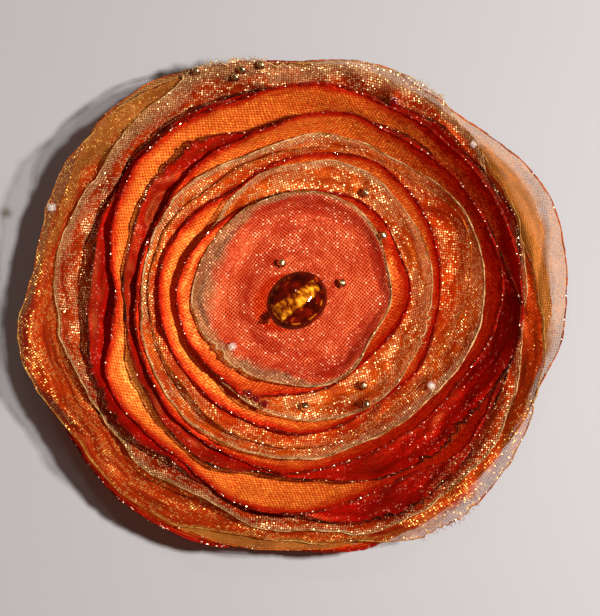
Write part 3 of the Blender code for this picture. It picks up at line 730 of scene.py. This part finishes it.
def lay_cloth(number, disc, pile, beads):
    """Make one disc's cloth on the pile. Returns it, its rim, where that frays, and its flat radius."""
    node, _, cloth, _, rim_radius, folding, thread_turn = disc
    net = cut_net(node)
    perimeter = math.tau * net[:, -1, 0].mean()
    columns = round(perimeter / FINE_STEP)
    turns = np.arange(columns) / columns
    fine_net = around(net, turns)
    rings = net.shape[1]
    lengths = np.diff(net[:, :, 0], axis=1).mean(0)
    shows = [node in OPEN_DISCS or k >= rings - WALL_RINGS for k in range(rings - 1)]
    steps = [
        math.ceil(length / (CREASE_STEP if show else COARSE_STEP)) for length, show in zip(lengths, shows)
    ]
    place = np.concatenate([[0.0]] + [k + np.arange(1, n + 1) / n for k, n in enumerate(steps)])
    radius, height = along_spokes(fine_net[:, :, 0], fine_net[:, :, 1], place)
    foot, rim = fine_net[:, -WALL_RINGS, 0], fine_net[:, -1, 0]
    share = np.clip((radius - foot) / (rim - foot), 0, 1)

    random = np.random.default_rng(100 + number)
    up = folds(random, turns, perimeter, 3 * share)
    out = folds(random, turns, perimeter, 2 * share)
    height = height + folding * up * share
    crease_share = np.clip(share * 3, 0, 1) * np.clip((rim - radius) / RIM_ZONE, 0.3, 1)
    creasing = 1.0 if "organza" in node else SATIN_CREASING
    height = height + folding * creasing * creases(random, turns, rim - radius) * crease_share
    radius = radius + folding * OUTWARD_SHARE * out * share
    if number == 0:
        radius = radius + WALL_PLEATS * out * 4 * share * (1 - share)

    frayed = np.zeros(columns)
    for start, end in FRAYS.get(node, ()):
        frayed[(360 * turns > start) & (360 * turns < end)] = 1.0
    radius = radius + RAGGED * frayed * random.uniform(-1.0, 0.5, columns) * share**8

    for reach, turn, low, width in beads:
        short = reach + RIM_BEYOND_BEAD - np.interp(turn, turns, radius[-1], period=1)
        if short > 0:
            aside = ((turns - turn + 0.5) % 1 - 0.5) * perimeter
            radius = radius + short * share**2 * np.exp(-((aside / PUSH_WIDTH) ** 2))
    angle = math.tau * turns
    for reach, turn, low, width in beads:
        away = np.hypot(
            radius * np.cos(angle) - reach * math.cos(math.tau * turn),
            radius * np.sin(angle) - reach * math.sin(math.tau * turn),
        )
        seat = low - SEAT_GAP - height.flat[away.argmin()]
        height = height + seat * np.exp(-((away / width) ** 2))
    x = STITCH[0] + radius * np.cos(angle)
    y = STITCH[1] + radius * np.sin(angle)
    row_steps = np.diff(radius.mean(1))
    dense_rows = np.concatenate([
        k + np.arange(n) / n for k, n in enumerate(np.ceil(row_steps / PILE_CELL * DENSITY).astype(int))
    ] + [[len(radius) - 1.0]])
    column_split = math.ceil(FINE_STEP / PILE_CELL * DENSITY)
    dense_columns = np.arange(columns * column_split) / column_split

    def dense(grid, rows=dense_rows):
        """Values of a grid at points closer than the pile's cells."""
        return between(grid, rows, dense_columns)

    row, column = pile.cells(dense(x), dense(y))
    sheet_need = pile.clear(SHEET_GAP)[row, column]
    rim_need = pile.clear(rim_radius + SHEET_GAP)[row, column]
    nearness = np.clip(1 - dense(rim - radius) / RIM_ZONE, 0, 1)
    need = sheet_need + (rim_need - sheet_need) * nearness
    near_row = np.rint(dense_rows).astype(int)[:, None]
    near_column = np.rint(dense_columns).astype(int) % columns
    owner = tuple(np.broadcast_to(near, need.shape) for near in (near_row, near_column))
    for _ in range(LAY_ROUNDS):
        lack = need - dense(height)
        if lack.max() < LEAST_LIFT:
            break
        lift = np.zeros_like(height)
        np.maximum.at(lift, owner, np.maximum(lack, 0))
        height = height + spread_up(lift)
    pile.add(dense(x), dense(y), dense(height))
    rim_x, rim_y, rim_z = (dense(grid, dense_rows[-1:])[0] for grid in (x, y, height))
    for step_x in (-rim_radius, 0, rim_radius):
        for step_y in (-rim_radius, 0, rim_radius):
            pile.add(rim_x + step_x, rim_y + step_y, rim_z + rim_radius)

    paces = np.hypot(np.diff(radius, axis=0), np.diff(height, axis=0))
    stretch = np.concatenate([np.zeros((1, columns)), np.cumsum(paces, axis=0)])
    verts = np.stack([x[1:], y[1:], height[1:]], -1).reshape(-1, 3)
    verts = np.concatenate([[(STITCH[0], STITCH[1], height[0, 0])], verts])
    index = 1 + np.arange((len(radius) - 1) * columns).reshape(-1, columns)
    after = np.roll(index, -1, 1)
    quads = np.stack([index[:-1], index[1:], after[1:], after[:-1]], -1).reshape(-1, 4)
    fan = [(0, a, b) for a, b in zip(index[0].tolist(), after[0].tolist())]
    piece = add_piece(node + "_cloth", verts, fan + quads.tolist(), cloth)
    mesh = piece.data
    turned = angle + math.radians(thread_turn)
    flat = np.stack([stretch * np.cos(turned), stretch * np.sin(turned)], -1)
    flat = np.concatenate([[(0.0, 0.0)], flat[1:].reshape(-1, 2)]) / FLAT_SPAN + 0.5
    corners = np.zeros(len(mesh.loops), int)
    mesh.loops.foreach_get("vertex_index", corners)
    mesh.uv_layers.new(name="flat_cut").data.foreach_set("uv", flat[corners].ravel())
    from_rim = np.concatenate([[stretch[-1].mean()], (stretch[-1] - stretch[1:]).ravel()])
    keep_values(mesh, "from_rim", from_rim)
    band = SATIN_BAND if "satin" in node else ORGANZA_BAND
    for kind, tables, usual in (("edge_band", EDGE_BANDS, band), ("glint_share", GLINT_SHARES, 1.0)):
        table = tables.get(node, {0: usual})
        values = np.interp(360 * turns, list(table), list(table.values()), period=360)
        keep_values(mesh, kind, np.concatenate([[values[0]], np.tile(values, len(radius) - 1)]))
    return piece, verts[index[-1]], frayed, float(stretch[-1].mean())


# Geometry Nodes

def new_tree(name, sockets):
    """A geometry node tree with named inputs: (name, kind of socket)."""
    tree = bpy.data.node_groups.new(name, "GeometryNodeTree")
    tree.interface.new_socket("Geometry", in_out="OUTPUT", socket_type="NodeSocketGeometry")
    for label, kind in (("Geometry", "Geometry"), *sockets, ("Material", "Material")):
        tree.interface.new_socket(label, in_out="INPUT", socket_type="NodeSocket" + kind)
    return tree, tree.nodes.new("NodeGroupInput").outputs


def end_tree(tree, given, geometry):
    """Close a tree with plain geometry and its material."""
    plain = add_node(tree, "GeometryNodeRealizeInstances", {0: geometry})
    painted = add_node(tree, "GeometryNodeSetMaterial", {"Geometry": plain, "Material": given["Material"]})
    add_node(tree, "NodeGroupOutput", {0: painted})
    return tree


def even_path(tree, given):
    """The given lines as a curve with even steps."""
    path = add_node(tree, "GeometryNodeMeshToCurve", {"Mesh": given["Geometry"]})
    spacing = {"Curve": path, "Length": given["Step"]}
    return add_node(tree, "GeometryNodeResampleCurve", spacing, mode="LENGTH")


def melted_rim_tree():
    """A lumpy bead of melted cloth along a closed edge, with drops and loose fibres on it."""
    tree, given = new_tree("melted rim", (
        ("Radius", "Float"), ("Step", "Float"), ("Drops", "Float"), ("Seed", "Int"),
        ("Fibre Length", "Float"), ("Fibre Radius", "Float"),
    ))
    even = even_path(tree, given)
    lumpy = {"Scale": 700.0, "Detail": 3.0, "W": given["Seed"]}
    lumps = add_node(tree, "ShaderNodeTexNoise", lumpy, noise_dimensions="4D")
    wide = times(tree, given["Radius"], ramp(tree, lumps, 0.35, 0.65, 0.45, 1.7))
    profile = add_node(tree, "GeometryNodeCurvePrimitiveCircle", {"Resolution": 6, "Radius": 1.0})
    bead = add_node(tree, "GeometryNodeCurveToMesh", {
        "Curve": even, "Profile Curve": profile, "Scale": wide,
    })
    smooth = add_node(tree, "GeometryNodeSetShadeSmooth", {"Geometry": bead})
    spots = add_node(tree, "GeometryNodeCurveToPoints", {"Curve": even}, mode="EVALUATED")

    def random_value(kind, inputs):
        """Add a random value for each point."""
        inputs["Seed"] = given["Seed"]
        return add_node(tree, "FunctionNodeRandomValue", inputs, data_type=kind)

    chosen = random_value("BOOLEAN", {"Probability": given["Drops"]})
    size = random_value("FLOAT", {2: 0.9, 3: 1.8})
    scale = times(tree, given["Radius"], size.outputs[1])
    drop = add_node(tree, "GeometryNodeMeshIcoSphere", {"Radius": 1.0, "Subdivisions": 1})
    round_drop = add_node(tree, "GeometryNodeSetShadeSmooth", {"Geometry": drop})
    drops = add_node(tree, "GeometryNodeInstanceOnPoints", {
        "Points": spots, "Selection": chosen.outputs[3], "Instance": round_drop, "Scale": scale,
    })
    frayed = add_node(tree, "GeometryNodeInputNamedAttribute", {"Name": "frayed"}, data_type="FLOAT")
    hair = add_node(tree, "GeometryNodeCurveQuadraticBezier", {
        "Resolution": 6, "Start": (0, 0, 0), "Middle": (0.1, 0.3, 0.5), "End": (0.5, 0.1, 1.0),
    })
    outward = vectors(tree, "MULTIPLY", add_node(tree, "GeometryNodeInputPosition"), (1, 1, 0))
    heading = add_node(tree, "FunctionNodeAlignRotationToVector", {"Vector": outward}, axis="Z")
    ways = random_value("FLOAT_VECTOR", {0: (-0.9, -0.9, -3.0), 1: (0.9, 0.9, 3.0)})
    turning = {"Rotation": heading, "Rotate By": ways}
    turned = add_node(tree, "FunctionNodeRotateRotation", turning, rotation_space="LOCAL")
    length = times(tree, given["Fibre Length"], size.outputs[1])
    fibres = add_node(tree, "GeometryNodeInstanceOnPoints", {
        "Points": spots, "Selection": frayed, "Instance": hair, "Rotation": turned, "Scale": length,
    })
    loose = add_node(tree, "GeometryNodeRealizeInstances", {0: fibres})
    thin = add_node(tree, "GeometryNodeCurvePrimitiveCircle", {"Resolution": 3, "Radius": 1.0})
    strands = add_node(tree, "GeometryNodeCurveToMesh", {
        "Curve": loose, "Profile Curve": thin, "Scale": given["Fibre Radius"],
    })
    joined = add_node(tree, "GeometryNodeJoinGeometry")
    for part in (smooth, drops, strands):
        tree.links.new(part.outputs[0], joined.inputs[0])
    return end_tree(tree, given, joined)


def twisted_thread_tree():
    """Three twisted plies along open or closed paths."""
    tree, given = new_tree("twisted thread", (("Radius", "Float"), ("Step", "Float"), ("Lay", "Float")))
    even = even_path(tree, given)
    along = add_node(tree, "GeometryNodeSplineParameter").outputs["Length"]
    angle = times(tree, maths(tree, "DIVIDE", along, given["Lay"]), math.tau)
    twisted = add_node(tree, "GeometryNodeSetCurveTilt", {"Curve": even, "Tilt": angle})
    plies = add_node(tree, "GeometryNodeCurveStar", {"Points": 3, "Inner Radius": 0.6, "Outer Radius": 1.0})
    cord = add_node(tree, "GeometryNodeCurveToMesh", {
        "Curve": twisted, "Profile Curve": plies, "Scale": given["Radius"], "Fill Caps": True,
    })
    smooth = add_node(tree, "GeometryNodeSetShadeSmooth", {"Geometry": cord})
    return end_tree(tree, given, smooth)


def grow(name, verts, edges, tree, values, frayed=None):
    """Run a geometry tree on lines in millimetres, and keep its result as a plain mesh."""
    mesh = bpy.data.meshes.new(name + " path")
    mesh.from_pydata((np.asarray(verts) * MM).tolist(), edges, [])
    if frayed is not None:
        keep_values(mesh, "frayed", frayed)
    piece = add_object(name, mesh)
    modifier = piece.modifiers.new("grow", "NODES")
    modifier.node_group = tree
    for item in tree.interface.items_tree:
        if item.in_out == "INPUT" and item.name in values:
            modifier[item.identifier] = values[item.name]
    bpy.context.view_layer.update()
    grown = bpy.data.meshes.new_from_object(piece.evaluated_get(bpy.context.evaluated_depsgraph_get()))
    piece.modifiers.clear()
    piece.data = grown
    bpy.data.meshes.remove(mesh)
    grown.name = name
    return piece


# Glass, beads and thread

def turned_ring(profile, sides):
    """Vertices and faces of a closed profile of (along, radius) points turned about X."""
    profile = np.asarray(profile, float)
    turn = np.arange(sides) / sides * math.tau
    along = np.repeat(profile[:, 0][:, None], sides, 1)
    radius = profile[:, 1][:, None]
    verts = np.stack([along, radius * np.sin(turn), radius * np.cos(turn)], -1)
    index = np.arange(len(profile) * sides).reshape(len(profile), sides)
    below = np.roll(index, -1, 0)
    quads = np.stack([index, np.roll(index, -1, 1), np.roll(below, -1, 1), below], -1)
    return verts.reshape(-1, 3), quads.reshape(-1, 4).tolist()


def tube(half, outer, inner, sides):
    """Vertices and faces of a round tube along X."""
    return turned_ring([(-half, outer), (half, outer), (half, inner), (-half, inner)], sides)


def oval_profile(length, diameter, hole, points):
    """Closed outline of an oval bead with a hole: outer curve, rounded lips and bore."""
    lip = 0.3
    start = math.asin((hole / 2 + lip) / (diameter / 2))
    turn = np.linspace(start, math.pi - start, points)
    outer = np.stack([-np.cos(turn) / math.cos(start) * (length / 2), diameter / 2 * np.sin(turn)], -1)
    bend = np.linspace(0, math.pi / 2, 5)[1:]
    lip_out = np.stack([length / 2 - lip * (1 - np.cos(bend)), hole / 2 + lip * (1 - np.sin(bend))], -1)
    bore = np.linspace(length / 2 - lip, -length / 2 + lip, 7)[1:-1]
    inner = np.stack([bore, np.full(len(bore), hole / 2)], -1)
    return np.concatenate([outer, lip_out, inner, lip_out[::-1] * (-1, 1)])


def make_glass_bead():
    """Oval bead over the stitch, with the lining that shines in its hole."""
    verts, faces = turned_ring(oval_profile(BEAD_LENGTH, BEAD_WIDTH, BEAD_HOLE, 40), 64)
    bore = BEAD_HOLE / 2
    squash = (BEAD_HEIGHT - BEAD_HOLE) / (BEAD_WIDTH - BEAD_HOLE)
    beyond = np.maximum(np.abs(verts[:, 2]) - bore, 0)
    verts[:, 2] = np.sign(verts[:, 2]) * (np.minimum(np.abs(verts[:, 2]), bore) + beyond * squash)
    heading = np.array(Matrix.Rotation(BEAD_ANGLE, 3, "Z"))
    bead = add_piece("glass_bead_body", verts @ heading.T + STITCH, faces, "amber glass")
    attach(bead, "root")
    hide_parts("glass_bead")
    verts, faces = tube(BEAD_LENGTH / 2 - 0.5, bore - 0.08, bore - 0.22, 24)
    lining = add_piece("glass_bead_lining", verts @ heading.T + STITCH, faces, "gold lining")
    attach(lining, "root")


def bead_frame(number):
    """Middle and axes of a CAD seed bead: along its hole, across it, and up."""
    points = node_points(f"seed_bead_{number:02d}")
    points = np.unique(np.round(points, 4), axis=0)
    middle = (points.max(0) + points.min(0)) / 2
    spread, axes = np.linalg.eigh(np.cov((points - middle).T))
    odd = 0 if spread[1] - spread[0] > spread[2] - spread[1] else 2
    along = axes[:, odd]
    up = np.array((0.0, 0.0, 1.0)) - along * along[2]
    up /= np.linalg.norm(up)
    return middle, np.stack([along, np.cross(up, along), up])


def at_seed_beads(name, numbers, ring, quads, material):
    """The same round shape at several seed beads, as one piece."""
    verts, faces = [], []
    for number in numbers:
        middle, axes = bead_frame(number)
        faces += [[corner + len(ring) * len(verts) for corner in quad] for quad in quads]
        verts.append(ring @ axes + middle)
    piece = add_piece(name, np.concatenate(verts), faces, material)
    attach(piece, "root")
    return piece


def make_seed_beads(name, numbers, material):
    """Seed beads of one glass as one piece."""
    half, bore, outer, soft, lip = SEED_HALF_LENGTH, 0.325, 0.875, 0.36, 0.06
    bend = np.radians([0, 22, 45, 67, 90])
    shoulder = [(half - soft * (1 - math.cos(b)), outer - soft * (1 - math.sin(b))) for b in bend]
    right = [(half, bore + lip)] + shoulder
    profile = [(-a, r) for a, r in right] + right[::-1] + [(half - lip, bore), (-half + lip, bore)]
    piece = at_seed_beads(name, numbers, *turned_ring(profile, 20), material)
    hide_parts(*[f"seed_bead_{number:02d}" for number in numbers])


def make_bead_linings():
    """Silver in the holes of the clear seed beads, which shines through their glass."""
    shape = tube(SEED_HALF_LENGTH - 0.1, 0.3, 0.24, 16)
    lining = at_seed_beads("clear_bead_linings", CLEAR_BEADS, *shape, "silver lining")


def stitch_path():
    """Loop of thread through the glass bead's hole and under the lowest disc, as in the CAD model."""
    heights = node_points("stitch_thread")[:, 2]
    top = heights.max() - THREAD_DIAMETER / 2
    low = heights.min() + THREAD_DIAMETER / 2
    heading = np.array((math.cos(BEAD_ANGLE), math.sin(BEAD_ANGLE)))
    corners = (
        (NEEDLE_REACH - THREAD_BEND, top - THREAD_BEND, THREAD_BEND),
        (THREAD_BEND - NEEDLE_REACH, top - THREAD_BEND, THREAD_BEND),
        (THREAD_DIAMETER - NEEDLE_REACH, low + THREAD_DIAMETER, THREAD_DIAMETER),
        (NEEDLE_REACH - THREAD_DIAMETER, low + THREAD_DIAMETER, THREAD_DIAMETER),
    )
    verts = []
    for corner, (reach, height, bend) in enumerate(corners):
        for turn in math.pi / 2 * (corner + np.arange(BEND_STEPS + 1) / BEND_STEPS):
            level = heading * (reach + bend * math.cos(turn)) + STITCH[:2]
            verts.append((*level, height + bend * math.sin(turn)))
    return verts, [(k, (k + 1) % len(verts)) for k in range(len(verts))]


def bead_thread_paths():
    """Short stitches through the seed beads, whose ends dip into the cloth."""
    verts, edges = [], []
    for row in BEAD_ROWS:
        first, (along, _, up) = bead_frame(row[0])
        last = bead_frame(row[-1])[0]
        if (last - first) @ along < 0:
            along = -along
        dip = (SEED_HALF_LENGTH, 0.0), (SEED_HALF_LENGTH + 0.25, -0.25), (SEED_HALF_LENGTH + 0.45, -1.3)
        start = [first - along * out + up * down for out, down in dip[::-1]]
        stop = [last + along * out + up * down for out, down in dip]
        edges += [(len(verts) + k, len(verts) + k + 1) for k in range(2 * len(dip) - 1)]
        verts += start + stop
    return verts, edges


# The flower

pile = Pile()
rim_tree = melted_rim_tree()
beads = carried_beads()
for number, disc in enumerate(DISCS):
    node, slot, cloth, rim_name, rim_radius = disc[:5]
    piece, rim, frayed, flat_radius = lay_cloth(number, disc, pile, beads[node])
    count = len(rim)
    edges = [(k, (k + 1) % count) for k in range(count)]
    rim_piece = grow(node + "_rim", rim, edges, rim_tree, {
        "Radius": rim_radius * MM, "Step": 0.42 * MM, "Drops": 0.12, "Seed": number,
        "Fibre Length": FIBRE_LENGTH * MM, "Fibre Radius": FIBRE_RADIUS * MM,
        "Material": MATERIALS[rim_name],
    }, frayed)
    for part in (piece, rim_piece):
        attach(part, "root")
    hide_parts(node)

make_glass_bead()
thread_tree = twisted_thread_tree()
stitch = grow("stitch_thread_plies", *stitch_path(), thread_tree, {
    "Radius": THREAD_DIAMETER / 2 * MM, "Step": 0.12 * MM, "Lay": 1.1 * MM,
    "Material": MATERIALS["red thread"],
})
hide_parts("stitch_thread")
bead_thread = grow("bead_thread_plies", *bead_thread_paths(), thread_tree, {
    "Radius": BEAD_THREAD_RADIUS * MM, "Step": 0.12 * MM, "Lay": 0.7 * MM,
    "Material": MATERIALS["red thread"],
})
for part in (stitch, bead_thread):
    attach(part, "root")
make_seed_beads("bronze_seed_beads", BRONZE_BEADS, "bronze coat")
make_seed_beads("clear_seed_beads", CLEAR_BEADS, "clear glass")
make_bead_linings()
make_seed_beads("red_seed_beads", RED_BEADS, "red glass")


# Floor, light and camera

def pale_paint(tree):
    """Plain pale table top."""
    cloudy = noise(tree, own_place(tree), 12.0, 2.0)
    mix = blend(tree, cloudy, "#928F8E", "#979493")
    return coat(tree, {"Base Color": mix, "Roughness": 0.5})


def aim(thing, azimuth, elevation, distance, target):
    """Put a lamp or a camera at a distance from a target, looking at it."""
    a, e = math.radians(azimuth), math.radians(elevation)
    away = Vector((math.cos(e) * math.cos(a), math.cos(e) * math.sin(a), math.sin(e)))
    thing.location = Vector(target) + away * distance
    thing.rotation_euler = away.to_track_quat("Z", "Y").to_euler()


def add_lamp(name, azimuth, elevation, distance, size, power):
    """White square lamp that looks at the flower."""
    lamp = add_object(name, bpy.data.lights.new(name, "AREA"))
    lamp.data.size = size
    lamp.data.energy = power
    aim(lamp, azimuth, elevation, distance, (0, 0, 0))


MATERIALS["pale table top"] = new_material("pale table top", pale_paint)
far = FLOOR_REACH
corners = [(-far, -far, 0), (far, -far, 0), (far, far, 0), (-far, far, 0)]
floor = add_piece("floor", corners, [(0, 1, 2, 3)], "pale table top")
add_lamp("key lamp", 3, 62, 0.75, 0.06, 10.4)
add_lamp("window lamp", 100, 65, 1.0, 0.1, 0.6)
scene = bpy.context.scene
world = bpy.data.worlds.new("room")
world.use_nodes = True
background = world.node_tree.nodes["Background"].inputs
background[0].default_value = colour("#FFD4C0")
background[1].default_value = 0.12
scene.world = world

camera = add_object("camera", bpy.data.cameras.new("camera"))
camera.data.sensor_fit = "HORIZONTAL"
camera.data.sensor_width = 36.0
camera.data.lens = camera.data.sensor_width * CAMERA_DISTANCE / FRAME_WIDTH
camera.data.clip_end = 10.0
aim(camera, -90, CAMERA_ELEVATION, CAMERA_DISTANCE, CAMERA_TARGET)
scene.camera = camera
scene.view_settings.view_transform = "Standard"
